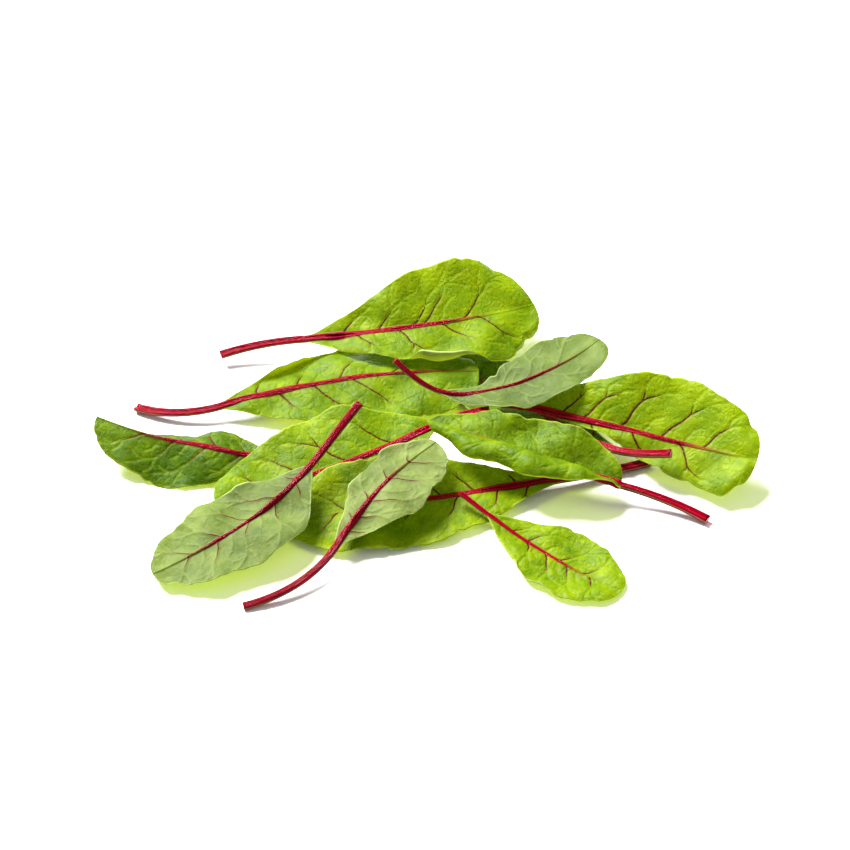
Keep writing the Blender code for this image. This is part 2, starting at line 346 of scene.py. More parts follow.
@dataclass
class ChardLeaf:
    """One leaf, in millimetres and degrees. A pair is the left and the right side."""

    name: str
    foot: Pair  # where the cut end of the stalk is on the ground plan
    heading: float  # way the stalk sets out, from +X towards +Y
    turn: Pair  # how far it turns over the stalk, and over the blade
    stalk: float  # length from the cut end to the blade
    blade: float  # length from there to the tip
    rise: Five  # height of the midrib at five even steps from the cut end to the tip
    width: Pair  # greatest half width, beyond the midrib
    roll: Three = (0, 0, 0)  # lift of the left side, at the cut end, middle and tip
    fold_left: Three = (0, 0, 0)  # lift from the midrib, at the base, middle and tip
    fold_right: Three = (0, 0, 0)
    curl_left: Three = (0, 0, 0)  # further bend between the midrib and the margin
    curl_right: Three = (0, 0, 0)
    fullest: Pair = (0.58, 0.58)  # share of the blade's length at its widest
    taper: Pair = (1.2, 1.2)  # over 1 draws the blade in along the stalk
    blunt: Pair = (0.5, 0.5)  # under 0.5 makes a squarer tip
    ruffle: Pair = (1.5, 1.5)  # height of the waves along each margin
    waves: float = 3.0
    thickness: Pair = (2.2, 1.9)  # half width of the stalk, at the cut and the blade
    lie: Lie = Lie.UPPER_SIDE_UP

    seed: int = 1
    veins_left: Tuple[float, ...] = (0.06, 0.18, 0.31, 0.44, 0.58, 0.72, 0.84)
    veins_right: Tuple[float, ...] = (0.1, 0.23, 0.36, 0.5, 0.64, 0.77, 0.88)
    vein_red: float = 0.9
    red_reach: Pair = (0.65, 0.65)  # share of a side vein's length at which its red ends
    vein_way: Three = (26, 60, 32)  # angle at the midrib, soon after, and lean to the tip
    midrib_red: float = 0.8  # share of the blade's length at which the midrib's red ends
    pucker: float = 0.3  # rise of the blade between its side veins
    swell: float = 0.8  # height of the slow waves of the whole blade
    lobes: float = 0.7  # height of the slow waves of the margin's outline
    nicks: int = 3  # shallow dents on each margin
    frill: float = 0.3  # height of the short waves of the margin
    notches: Tuple[Notch, ...] = ()
    rims: Tuple[Rim, ...] = ()
    tone: float = 0.0  # -1 is a deeper green, 1 a yellower one; set per leaf partly as its own colour and partly as painted light and shade, to match how bright each leaf looks

    tip_rib: float = 0.35  # half width of the midrib at the tip
    sheet: float = 0.35  # half thickness of the blade
    edge_rounding: float = 0.12  # share of the half width over which the margin thins
    groove: Pair = (0.08, 0.6)  # depth and half width of a side vein's groove above
    ridge: Pair = (0.2, 0.5)  # height and half width of its ridge below
    quilt_reach: float = 3.4  # distance from a side vein at which the blade has risen

    @property
    def length(self) -> float:
        """Length of the whole leaf, from the cut end to the tip."""
        return self.stalk + self.blade

    def stations(self, cut: Division) -> Array:
        """Places the leaf's sections.

        Args:
            cut: How finely the leaf is divided.

        Returns:
            Shares of the whole length.
        """
        along_stalk = np.linspace(0, self.stalk, cut.stalk, endpoint=False)
        even = np.linspace(0, 1, cut.blade + 1)
        along_blade = self.stalk + self.blade * (1 - (1 - even) ** cut.tip_crowding)
        return np.concatenate([along_stalk, along_blade]) / self.length

    def midrib(self, share: Array) -> Tuple[Array, Array, Array]:
        """Works out the midrib.

        Args:
            share: Shares of the whole length.

        Returns:
            Its points, and the directions to the left side and out of the leaf there.
        """
        fine = np.linspace(0, 1, 401)
        corner = self.stalk / self.length
        turned = np.interp(fine, [0, corner, 1], [0, self.turn[0], sum(self.turn)])
        way = np.radians(self.heading + turned)
        middle = 0.5 * (way[1:] + way[:-1])
        step = self.length * fine[1]
        x = self.foot[0] + step * np.concatenate([[0], np.cumsum(np.cos(middle))])
        y = self.foot[1] + step * np.concatenate([[0], np.cumsum(np.sin(middle))])
        z = smooth_through(self.rise, fine)
        line = np.stack([np.interp(share, fine, axis) for axis in (x, y, z)], 1)
        climb = np.arctan(np.interp(share, fine, np.gradient(z, step)))
        way = np.interp(share, fine, way)
        level = np.cos(climb)
        ahead = np.stack([np.cos(way) * level, np.sin(way) * level, np.sin(climb)], 1)
        left = np.stack([-np.sin(way), np.cos(way), 0 * way], 1)
        out = np.cross(ahead, left)
        roll = np.radians(smooth_through(self.roll, share))[:, None]
        rolled_left = left * np.cos(roll) + out * np.sin(roll)
        return line, rolled_left, out * np.cos(roll) - left * np.sin(roll)

    def outline(self, side: Side, along: Array) -> Array:
        """Works out the plain outline, which rises to the widest place and rounds to the tip.

        Args:
            side: The side of the midrib.
            along: Shares of the blade's length.

        Returns:
            Shares of the greatest half width.
        """
        full = self.fullest[side.value]
        rising = np.sin(0.5 * np.pi * np.clip(along / full, 0, 1)) ** self.taper[side.value]
        past = np.clip((along - full) / (1 - full), 0, 1)
        falling = (1 - past**2) ** self.blunt[side.value]
        return np.where(along < full, rising, falling)

    def margin_shape(self, side: Side, along: Array) -> Array:
        """Works out the small lobes and notches of a margin.

        Args:
            side: The side of the midrib.
            along: Shares of the blade's length.

        Returns:
            What they add to the half width.
        """
        rng = np.random.default_rng(self.seed * 10 + side.value)
        place = along * self.blade
        wave = waves(place, LOBES, rng) + TOOTH_SHARE * waves(place, TEETH, rng)
        grown = self.lobes * wave * ease(along / 0.35) * ease((1 - along) / 0.1)
        dents = [
            Notch(side, rng.uniform(0.3, 0.97), rng.uniform(0.4, 1.1), rng.uniform(0.9, 2.6))
            for _ in range(self.nicks)
        ]
        for notch in (*dents, *self.notches):
            if notch.side is side:
                off = (place - notch.place * self.blade) / notch.spread
                grown = grown - notch.depth * np.exp(-(off**2))
        return grown

    def vein_nets(self) -> Dict[Side, VeinNet]:
        """Grows the side veins of each side, with their forks and the small ones between.

        Returns:
            The veins of each side.
        """
        nets = {}
        rng = np.random.default_rng(self.seed)
        for side, places in ((Side.LEFT, self.veins_left), (Side.RIGHT, self.veins_right)):
            net = nets[side] = VeinNet(side, arch=self.vein_way[2])
            for place in places:
                self.grow_side_vein(net, place, rng)
            gaps = np.diff(np.array((0.0, *places)))
            for place, gap in zip(places, gaps):
                between = place - gap * rng.uniform(*SMALL_VEIN_PLACE)
                self.grow_small_vein(net, between, rng)
            net.join()
        return nets

    def room(self, side: Side, place: float) -> float:
        """Half width of the blade a little further on than a share of its length."""
        ahead = np.array([min(place + 0.12, 0.97)])
        return float(self.width[side.value] * self.outline(side, ahead)[0])

    def grow_side_vein(self, net: VeinNet, place: float, rng: Rng) -> None:
        """Adds a side vein and its forks.

        Args:
            net: The side's veins.
            place: Share of the blade's length at which the vein leaves the midrib.
            rng: Source of its differences from the others.
        """
        # The vein runs a little past the margin, so that its thin end doesn't show.
        length = self.room(net.side, place) * 1.12 * rng.uniform(*VEIN_LENGTH) + 3
        spread = self.vein_way[1] - 14 * place + rng.uniform(-6, 6)
        red = self.vein_red * rng.uniform(*VEIN_REDNESS) * (1 - 0.35 * place)
        reach = self.red_reach[net.side.value] * rng.uniform(*VEIN_REACH)
        start = np.array([place * self.blade, 0.0])
        way = (self.vein_way[0], spread)
        points = net.grow(start, length, way, (red, reach), 1.0, rng, net.steps)
        for node, swing in FORKS:
            share = node / net.steps
            move = points[node] - points[node - 1]
            angle = math.degrees(math.atan2(net.side.sign * move[1], move[0]))
            fork_red = red * max(1 - share / reach, 0) ** 0.6
            turned = angle + swing * rng.uniform(*FORK_SWING)
            rest = length * (1 - share) * rng.uniform(*FORK_LENGTH)
            fork = (turned, turned + 0.3 * swing)
            net.grow(points[node], rest, fork, (fork_red, 0.5), FORK_STRENGTH, rng, net.fork_steps)

    def grow_small_vein(self, net: VeinNet, place: float, rng: Rng) -> None:
        """Adds a short vein between two side veins.

        Args:
            net: The side's veins.
            place: Share of the blade's length at which it leaves the midrib.
            rng: Source of its differences from the others.
        """
        length = self.room(net.side, place) * rng.uniform(*SMALL_VEIN_LENGTH) + 1
        start = np.array([place * self.blade, 0.0])
        red = (0.3 * self.vein_red * rng.uniform(0.0, 1.0), 0.5)
        way = (self.vein_way[0] + 12, self.vein_way[1] + 6)
        net.grow(start, length, way, red, SMALL_VEIN_STRENGTH, rng, net.fork_steps)

    def laid_flat(self, side: Side, cut: Division, share: Array, finished: bool) -> Flat:
        """Lays out the points of one side before it is bent.

        Args:
            side: The side of the midrib.
            cut: How finely the leaf is divided.
            share: Shares of the whole length, as a single column.
            finished: Whether the margin has its lobes and notches.

        Returns:
            The side laid flat.
        """
        place = share * self.length - self.stalk
        along = np.clip(place / self.blade, 0, 1)
        thick = (*self.thickness, self.tip_rib)
        rib = np.interp(share, [0, self.stalk / self.length, 1], thick)
        half = rib + self.width[side.value] * self.outline(side, along)
        if finished:
            half = np.maximum(half + self.margin_shape(side, along), rib)
        bladed = ease((half - rib) / (3 * rib))
        on_stalk = half * np.sin(np.linspace(0, np.pi / 2, cut.rib + cut.side + 1))
        on_rib = rib * np.linspace(0, 1, cut.rib + 1)
        beyond = (half - rib) * np.linspace(0, 1, cut.side + 1)[1:]
        on_blade = np.concatenate([on_rib, rib + beyond], 1)
        distance = on_stalk + bladed * (on_blade - on_stalk)
        return Flat(side, along, place, rib, half, bladed, distance)

    def surface(self, cut: Division, nets: Optional[Dict[Side, VeinNet]]) -> Dict[str, Array]:
        """Works out the leaf's surface.

        Args:
            cut: How finely the leaf is divided.
            nets: Its side veins, or None for the plain leaf that was packed.

        Returns:
            Arrays with a row for each section and a column for each point round it: the
            points, and what the finish needs to know at each.
        """
        share = self.stations(cut)
        line, left, out = self.midrib(share)
        flats = [self.laid_flat(side, cut, share[:, None], nets is not None) for side in Side]
        one, two = (self.bent(flat, nets and nets[flat.side]) for flat in flats)
        made = {}
        for key in one:
            upper = [one[key][0][:, ::-1], two[key][0][:, 1:]]
            lower = [two[key][1][:, -2::-1], one[key][1][:, 1:]]
            made[key] = np.concatenate(upper + lower, 1)
        sideways, upwards = made.pop("sideways"), made.pop("upwards")
        points = line[:, None] + left[:, None] * sideways[..., None]
        points = points + out[:, None] * upwards[..., None]
        points[-1] = line[-1]
        made["points"] = points
        made["share"] = np.repeat(flats[0].along / self.midrib_red, points.shape[1], 1)
        return made

    def bent(self, flat: Flat, net: Optional[VeinNet]) -> Dict[str, Tuple[Array, Array]]:
        """Folds, curls and waves one side of the leaf, and gives it its thickness.

        Args:
            flat: The side laid flat.
            net: Its side veins, or None for the plain leaf.

        Returns:
            Pairs of arrays for the upper and the lower face.
        """
        side, distance, across = flat.side, flat.distance, flat.across
        fold = (self.fold_left, self.fold_right)[side.value]
        curl = (self.curl_left, self.curl_right)[side.value]
        lift = np.radians(smooth_through(fold, flat.along)) * flat.bladed
        bend = np.radians(smooth_through(curl, flat.along)) * flat.bladed * across
        chord = distance * np.sinc(0.5 * bend / np.pi)
        reach = chord * np.cos(lift + 0.5 * bend)
        height = chord * np.sin(lift + 0.5 * bend)
        slope = lift + bend
        wave = np.sin(2 * np.pi * self.waves * flat.along + 2.0 * side.value)
        wave = self.ruffle[side.value] * wave * np.sin(np.pi * flat.along) ** 0.7
        sheet = wave * across**2
        upper, lower = self.faces(flat)
        place = flat.place + 0 * distance
        if net is not None:
            rolled = slope + sum(rim.turned(flat) for rim in self.rims if rim.side is side)
            step = np.diff(distance, axis=1, prepend=0)
            reach = reach + np.cumsum((np.cos(rolled) - np.cos(slope)) * step, 1)
            height = height + np.cumsum((np.sin(rolled) - np.sin(slope)) * step, 1)
            slope = rolled
            spots = np.stack([place, side.sign * distance], 2).reshape(-1, 2)
            piece, far = net.nearest(spots)
            far = far.reshape(across.shape)
            sheet = sheet + self.relief(flat, far) * flat.bladed
            strength = net.beside(spots, piece)[2].reshape(across.shape)
            strength = strength * flat.bladed * ease(flat.margin / 2)
            upper = upper - self.groove[0] * strength * np.exp(-((far / self.groove[1]) ** 2))
            lower = lower - self.ridge[0] * strength * np.exp(-((far / self.ridge[1]) ** 2))
        both = {
            "blade_along": place,
            "across": side.sign * distance,
            "rib": distance - flat.rib,
            "past": distance / flat.rib,
            "margin": flat.margin,
        }
        made = {key: (value, value) for key, value in both.items()}
        away = [sheet + offset * self.lie.value for offset in (upper, lower)]
        made["sideways"] = tuple(side.sign * (reach - np.sin(slope) * a) for a in away)
        made["upwards"] = tuple(height + np.cos(slope) * a for a in away)
        return made

    def faces(self, flat: Flat) -> Tuple[Array, Array]:
        """Works out the section: a stalk grooved on top, and a thin blade over a raised rib.

        Args:
            flat: The side laid flat.

        Returns:
            Offsets of the upper and the lower face from the middle, positive upwards.
        """
        past = np.clip(flat.distance / flat.rib, 0, 1)
        ridge = 1 - past**2
        dome = np.sqrt(ridge)
        channel = dome * (STALK_TOP - STALK_GROOVE * np.exp(-((past / GROOVE_WIDTH) ** 2)))
        margin = np.clip((1 - flat.across) / self.edge_rounding, 0, 1) ** 0.5
        wing = (flat.half - flat.rib) / flat.rib
        sheet = self.sheet * margin * np.clip(wing, 0, 1) ** 0.5
        level = ease(wing / 9)
        keel = STALK_UNDER * dome
        upper = sheet + flat.rib * (channel + level * (RIB_TOP * ridge - channel))
        lower = -sheet - flat.rib * (keel + level * (RIB_UNDER * ridge - keel))
        return upper, lower

    def relief(self, flat: Flat, far: Array) -> Array:
        """Works out the blade's waves, and its quilting between the veins.

        Args:
            flat: The side laid flat.
            far: Distance from the nearest side vein.

        Returns:
            Height of the blade's middle over its plain shape.
        """
        rng = np.random.default_rng(self.seed * 100 + flat.side.value)
        place, distance, across = flat.place, flat.distance, flat.across
        quilt = 1 - np.exp(-((far / self.quilt_reach) ** 2))
        quilt = quilt * ease((distance - flat.rib) / 4) * ease(flat.margin / 5)
        slow = waves(place + 0.6 * distance, SWELLS, rng)
        slow = slow * np.sin(np.pi * np.clip(across, 0, 1)) ** 0.8
        skew = place + 1.5 * waves(distance, FRILL_SKEW, rng)
        short = waves(skew, FRILLS, rng) * across**5
        fade = ease(place / 12) * ease((self.blade - place) / 4)
        fade = fade * ease((flat.half - flat.rib) / 9)
        up = self.lie.value
        return up * self.pucker * quilt + fade * (self.swell * slow + self.frill * short)

    def grid_mesh(self, made: Dict[str, Array], nets: Dict[Side, VeinNet]) -> bpy.types.Mesh:
        """Writes the surface to a sheet of quads, with its maps and attributes.

        Args:
            made: The leaf's surface.
            nets: Its side veins.

        Returns:
            The mesh, still open along its seam.
        """
        points = made["points"] * MM
        rows, columns = points.shape[:2]
        bm = bmesh.new()
        bmesh.ops.create_grid(bm, x_segments=columns - 1, y_segments=rows - 1, size=1)
        mesh = bpy.data.meshes.new(self.name)
        bm.to_mesh(mesh)
        bm.free()
        mesh.vertices.foreach_set("co", points.astype(np.float32).ravel())
        corner = np.zeros(len(mesh.loops), np.int32)
        mesh.loops.foreach_get("vertex_index", corner)
        places = np.stack([made[key].ravel()[corner] for key in ("blade_along", "across")], 1)
        centre = places.reshape(-1, 4, 2).mean(1)
        veins = np.zeros((len(corner), 2))
        for side, net in nets.items():
            mine = centre[:, 1] * side.sign > 0
            piece, _ = net.nearest(centre[mine])
            corners = np.repeat(mine, 4)
            off, red, _ = net.beside(places[corners], np.repeat(piece, 4))
            veins[corners] = np.stack([off, red], 1)
        for name, values in (("blade", places[:, ::-1]), ("veins", veins)):
            layer = mesh.uv_layers.new(name=name)
            layer.data.foreach_set("uv", values.astype(np.float32).ravel())
        made["tone"] = np.full((rows, columns), self.tone)
        for name in ("rib", "past", "margin", "share", "tone"):
            layer = mesh.attributes.new(name, "FLOAT", "POINT")
            layer.data.foreach_set("value", made[name].astype(np.float32).ravel())
        under = (corner.reshape(-1, 4).min(1) % columns) >= (columns - 1) // 2
        skin = np.where(under, Skin.UNDER.value, Skin.UPPER.value).astype(np.int32)
        mesh.polygons.foreach_set("material_index", skin)
        return mesh

    def close(self, mesh: bpy.types.Mesh) -> None:
        """Closes the seam and the tip, and makes the cut end.

        Args:
            mesh: The open mesh, which is changed.
        """
        bm = bmesh.new()
        bm.from_mesh(mesh)
        bmesh.ops.remove_doubles(bm, verts=bm.verts[:], dist=SEAM_MERGE)
        rim = [edge for edge in bm.edges if edge.is_boundary]
        cap = bmesh.ops.contextual_create(bm, geom=rim)["faces"]
        for face in cap:
            face.material_index = Skin.CUT.value
        bmesh.ops.recalc_face_normals(bm, faces=bm.faces[:])
        if bm.calc_volume(signed=True) < 0:
            bmesh.ops.reverse_faces(bm, faces=bm.faces[:])
        bmesh.ops.inset_region(bm, faces=cap, thickness=CUT_RIM * MM, depth=-CUT_DIP * MM)
        for face in bm.faces:
            face.smooth = True
        bmesh.ops.triangulate(bm, faces=cap)
        bm.to_mesh(mesh)
        bm.free()

    def build(self, skins: List[bpy.types.Material]) -> bpy.types.Object:
        """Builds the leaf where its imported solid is.

        Args:
            skins: Materials of the upper side, the underside and the cut end.

        Returns:
            The leaf's object.
        """
        plain = self.surface(AS_PACKED, None)["points"].reshape(-1, 3).min(0)
        low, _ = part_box(self.name)
        shift = np.array(low) / MM - plain
        log.info("%s moved by %s mm", self.name, np.round(shift, 2))
        nets = self.vein_nets()
        made = self.surface(FINISHED, nets)
        made["points"] = made["points"] + shift
        made["points"][..., 2] = np.maximum(made["points"][..., 2], FLOOR_GAP)
        mesh = self.grid_mesh(made, nets)
        self.close(mesh)
        for skin in skins:
            mesh.materials.append(skin)
        leaf = bpy.data.objects.new(self.name + "_finished", mesh)
        bpy.context.scene.collection.objects.link(leaf)
        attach(leaf, "root")
        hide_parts(self.name)
        return leaf


def add_node(
    tree: bpy.types.NodeTree,
    kind: str,
    settings: Dict[Union[str, int], object],
    links: Dict[Union[str, int], Socket],
    out: Union[str, int] = 0,
) -> Socket:
    """Adds a node to a material. A Map Range's inputs 1 to 4 are where it starts and ends, and
    its values there. A colour Mix has its share in 0 and its colours in 6 and 7.

    Args:
        tree: The material's nodes.
        kind: The node's type.
        settings: Values of its properties, by name, or of its inputs, by name or number.
        links: Outputs that feed its inputs, by the input's name or number.
        out: The output that is wanted.

    Returns:
        That output.
    """
    node = tree.nodes.new("ShaderNode" + kind)
    for name, value in settings.items():
        if isinstance(name, str) and hasattr(node, name):
            setattr(node, name, value)
        else:
            node.inputs[name].default_value = value
    for name, source in links.items():
        tree.links.new(source, node.inputs[name])
    return node.outputs[out]


def colour_stops(ramp: Socket, stops: Tuple[Tuple[float, str], ...]) -> None:
    """Sets the three colours of a ramp.

    Args:
        ramp: The ramp's output.
        stops: Place and colour of the first stop, the last and the one between them.
    """
    elements = ramp.node.color_ramp.elements
    for element, (place, colour) in zip(elements, stops):
        element.position, element.color = place, linear(colour)
    elements.new(stops[2][0]).color = linear(stops[2][1])


@dataclass(frozen=True)
class Finish:
    """A finish with nodes of its own."""

    name: str

    def build(self) -> bpy.types.Material:
        """Builds the material.

        Returns:
            The material.
        """
        material = bpy.data.materials.new(self.name)
        material.use_nodes = True
        tree = material.node_tree
        tree.nodes.remove(tree.nodes["Principled BSDF"])
        shader = self.shader(partial(add_node, tree))
        tree.links.new(shader, tree.nodes["Material Output"].inputs[0])
        return material

    def shader(self, add: Adder) -> Socket:
        """Draws the finish, which each kind of finish does in its own way."""
        raise NotImplementedError(self.name)


@dataclass(frozen=True)
class LeafSkin(Finish):
    """The living skin of one side of a chard leaf: a thin, moist, waxy sheet over green
    flesh, which gives a soft sheen on top and lets light through in yellow-green. It reads
    the leaf's own maps and attributes, in millimetres."""

    deep: str  # deeper green of the darker patches, also painted shade in the crinkles' hollows
    middle: str
    bright: str  # yellower green of the thin places and brighter patches, also painted light on the crinkles' crests
    net: str  # colour along the finest veins
    vein_pale: str  # a side vein where its red has gone
    vein_red: str  # a side vein near the midrib
    rim: str  # painted highlight: a thin pale line along the margin
    stalk: str
    # The stalk's darker and paler colours colour its streaks, and also paint shade in its groove and at
    # its foot, and highlights on its shoulders.
    stalk_dark_and_shade: str
    stalk_pale_and_highlight: str
    glow: str  # colour of the light that comes through
    through: float  # share of the light that comes through
    roughness: Pair  # of the blade, smoothest and dullest
    net_depth: float  # depth of the finest veins; under 0 they stand up
    vein_depth: float  # depth of the side veins
    red_width: Pair  # half width of a green and of a fully red vein

    cast: str = "8B9514"  # tint of the lamp's light past one face of the blade
    rib_cast: str = "200004"  # the same past a face of the stalk
    rib_through: float = 0.12
    stalk_roughness: float = 0.12
    sheen_ior: float = 1.45
    gloss: float = 0.08  # 0.5 is the full mirror reflection for that IOR
    patch_mm: float = 19.0  # size of the patches of deeper and brighter green
    patch_spread: float = 0.24  # the smaller, the stronger the patches
    crinkle_mm: float = 4.6  # size of the crinkles between the veins
    crinkle_depth: float = 0.17
    crinkle_shade: float = 0.42  # how strongly the crinkles show as painted shade in their hollows and painted light on their crests
    cell_mm: float = 3.1  # mesh of the finest veins
    cell_shake: float = 2.2  # how far that mesh is pushed out of shape
    shakes_per_mm: float = 0.35
    swellings_per_mm: float = 0.45  # thicker and thinner places of a side vein
    wax_per_mm: float = 0.16  # duller and shinier patches
    grain_mm: float = 0.7  # the skin's grain, drawn coarser than the real 0.1 mm to show
    grain_depth: float = 0.16
    streaks: Three = (2.6, 0.11, 1.0)  # streaks of the stalk for each mm across, and along
    streak_depth: float = 0.6

    def shader(self, add: Adder) -> Socket:
        """Draws the skin.

        Args:
            add: Adds a node.

        Returns:
            The shader.
        """
        flat = add("UVMap", {"uv_map": "blade"}, {})
        crinkled = {"Scale": 1 / self.crinkle_mm, "Detail": 6.0, "Roughness": 0.62, "Distortion": 0.6}
        crinkle = add("TexNoise", crinkled, {"Vector": flat})
        greens = self.greens(add, flat, crinkle)
        fine, net_line = self.fine_net(add, flat)
        tint = add("Mix", {"data_type": "RGBA", 7: linear(self.net)}, {0: net_line, 6: greens}, 2)
        veined, vein, beside = self.side_veins(add, tint, flat)
        # Painted highlight along the margin.
        edged = self.painted_margin_highlight(add, veined)
        colour, rib, streaks = self.midrib(add, edged, flat)
        blade = self.blade_height(add, flat, crinkle, fine, beside)
        ribbed = add("Math", {"operation": "MULTIPLY", 1: self.streak_depth}, {0: streaks})
        height = add("Mix", {"data_type": "FLOAT"}, {0: rib, 2: blade, 3: ribbed})
        bump = add("Bump", {"Strength": 1.0, "Distance": MM}, {"Height": height})
        surface = add(
            "BsdfPrincipled",
            {"IOR": self.sheen_ior, "Specular IOR Level": self.gloss},
            {"Base Color": colour, "Roughness": self.dullness(add, flat, rib), "Normal": bump},
        )
        return self.light_through(add, surface, colour, rib, vein)

    def greens(self, add: Adder, flat: Socket, crinkle: Socket) -> Socket:
        """Mixes the greens of the flesh in soft patches, shifted by each leaf's own shift of green, and
        paints shade into the crinkles' hollows and light onto their crests.

        Args:
            add: Adds a node.
            flat: Place on the flattened leaf.
            crinkle: The crinkles, whose hollows are painted a deeper green as shade and whose crests
                are painted yellower as light.

        Returns:
            The colour.
        """
        patched = {"Scale": 1 / self.patch_mm, "Detail": 4.0, "Roughness": 0.6}
        patches = add("TexNoise", patched, {"Vector": flat})
        # Each leaf's shift of green, partly its own colour and partly painted light and shade.
        tone = add("Attribute", {"attribute_name": "tone"}, {}, "Fac")
        shifted = add("Math", {"operation": "MULTIPLY_ADD", 1: 0.2}, {0: tone, 2: patches})
        # Painted shade and light: the crinkles' hollows turn deeper green and their crests yellower.
        with_crinkle_shade = add("Math", {"operation": "MULTIPLY_ADD", 1: self.crinkle_shade}, {0: crinkle, 2: shifted})
        middle = 0.5 + 0.5 * self.crinkle_shade
        low, high = middle - self.patch_spread, middle + self.patch_spread
        ramp = add("ValToRGB", {}, {0: with_crinkle_shade})
        colour_stops(ramp, ((low, self.deep), (high, self.bright), (middle, self.middle)))
        return ramp

    def fine_net(self, add: Adder, flat: Socket) -> Tuple[Socket, Socket]:
        """Draws the mesh of the finest veins.

        Args:
            add: Adds a node.
            flat: Place on the flattened leaf.

        Returns:
            The distance from the mesh, and how strongly its colour shows.
        """
        shake = add("TexNoise", {"Scale": self.shakes_per_mm, "Detail": 2.0}, {"Vector": flat}, "Color")
        shaken = {"operation": "MULTIPLY_ADD", 1: (self.cell_shake, self.cell_shake, 0.0)}
        moved = add("VectorMath", shaken, {0: shake, 2: flat})
        mesh = {"feature": "DISTANCE_TO_EDGE", "Scale": 1 / self.cell_mm}
        cells = add("TexVoronoi", mesh, {"Vector": moved}, "Distance")
        return cells, add("MapRange", {1: 0.0, 2: 0.16, 3: 0.22, 4: 0.0}, {0: cells})

    def side_veins(self, add: Adder, under: Socket, flat: Socket) -> Tuple[Socket, Socket, Socket]:
        """Draws the side veins, red near the midrib and pale further out.

        Args:
            add: Adds a node.
            under: The colour of the blade between them.
            flat: Place on the flattened leaf.

        Returns:
            The colour, how much of it is vein, and the distance from the vein.
        """
        place = add("UVMap", {"uv_map": "veins"}, {})
        signed = add("SeparateXYZ", {}, {0: place}, "X")
        red = signed.node.outputs["Y"]
        off = add("Math", {"operation": "ABSOLUTE"}, {0: signed})
        uneven = add("TexNoise", {"Scale": self.swellings_per_mm, "Detail": 3.0}, {"Vector": flat})
        widths = {1: 0.0, 2: 0.75, 3: self.red_width[0], 4: self.red_width[1]}
        reach = add("MapRange", widths, {0: red})
        reach = add("Math", {"operation": "MULTIPLY_ADD", 1: 0.35}, {0: uneven, 2: reach})
        inside = add("Math", {"operation": "SUBTRACT"}, {0: reach, 1: off})
        line = add("MapRange", {1: -0.02, 2: 0.3, 3: 0.0, 4: 1.0}, {0: inside})
        halo = add("MapRange", {1: 0.1, 2: 0.9, 3: 0.3, 4: 0.0}, {0: off})
        pale, deep = linear(self.vein_pale), linear(self.vein_red)
        lit = add("Mix", {"data_type": "RGBA", 7: pale}, {0: halo, 6: under}, 2)
        redness = add("MapRange", {1: 0.04, 2: 0.36, 3: 0.0, 4: 1.0}, {0: red})
        vein = add("Mix", {"data_type": "RGBA", 6: pale, 7: deep}, {0: redness}, 2)
        shown = add("MapRange", {1: 0.0, 2: 0.3, 3: 0.35, 4: 1.0}, {0: red})
        amount = add("Math", {"operation": "MULTIPLY"}, {0: line, 1: shown})
        return add("Mix", {"data_type": "RGBA"}, {0: amount, 6: lit, 7: vein}, 2), amount, off

    def painted_margin_highlight(self, add: Adder, under: Socket) -> Socket:
        """Draws a painted highlight: a thin pale line along the margin.

        Args:
            add: Adds a node.
            under: The colour of the veined blade.

        Returns:
            The colour.
        """
        margin = add("Attribute", {"attribute_name": "margin"}, {}, "Fac")
        line = add("MapRange", {1: 0.1, 2: 0.8, 3: 0.75, 4: 0.0}, {0: margin})
        return add("Mix", {"data_type": "RGBA", 7: linear(self.rim)}, {0: line, 6: under}, 2)

    def midrib(self, add: Adder, under: Socket, flat: Socket) -> Tuple[Socket, Socket, Socket]:
        """Draws the red stalk and midrib, streaked along, over the blade, with painted shade in its
        groove and at its foot and painted highlights on its shoulders.

        Args:
            add: Adds a node.
            under: The colour of the blade.
            flat: Place on the flattened leaf.

        Returns:
            The colour, how much of it is rib, and the streaks.
        """
        rib, share, past = (
            add("Attribute", {"attribute_name": name}, {}, "Fac") for name in ("rib", "share", "past")
        )
        drawn = add("VectorMath", {"operation": "MULTIPLY", 1: self.streaks}, {0: flat})
        fibres = {"Scale": 1.0, "Detail": 4.0, "Roughness": 0.62}
        streaks = add("TexNoise", fibres, {"Vector": drawn})
        # Painted shade in the groove and at the foot of the rib, and painted highlights on its
        # shoulders.
        banded = add("Math", {"operation": "ADD"}, {0: streaks, 1: self.painted_rib_light(add, past)})
        ramp = add("ValToRGB", {}, {0: add("Math", {"operation": "SUBTRACT", 1: 0.5}, {0: banded})})
        colour_stops(ramp, ((0.25, self.stalk_dark_and_shade), (0.8, self.stalk_pale_and_highlight), (0.5, self.stalk)))
        mask = add("MapRange", {1: 0.3, 2: -0.1, 3: 0.0, 4: 1.0}, {0: rib})
        fade = add("MapRange", {1: 0.75, 2: 1.05, 3: 1.0, 4: 0.0}, {0: share})
        amount = add("Math", {"operation": "MULTIPLY"}, {0: mask, 1: fade})
        return add("Mix", {"data_type": "RGBA"}, {0: amount, 6: under, 7: ramp}, 2), amount, streaks

    def painted_rib_light(self, add: Adder, past: Socket) -> Socket:
        """Paints shade on the rib, darker in its groove and at its foot, and paints highlights, paler
        on its shoulders.

        Args:
            add: Adds a node.
            past: Distance from the rib's middle line, as a share of its half width.

        Returns:
            What it adds to the streaks, and 0.5.
        """
        bands = add("FloatCurve", {}, {1: past})
        points = bands.node.mapping.curves[0].points
        for place, height in ((0.3, 0.46), (0.6, 0.6), (0.85, 0.48)):
            points.new(place, height)
        points[0].location = (0.0, 0.44)
        points[-1].location = (1.0, 0.38)
        return bands

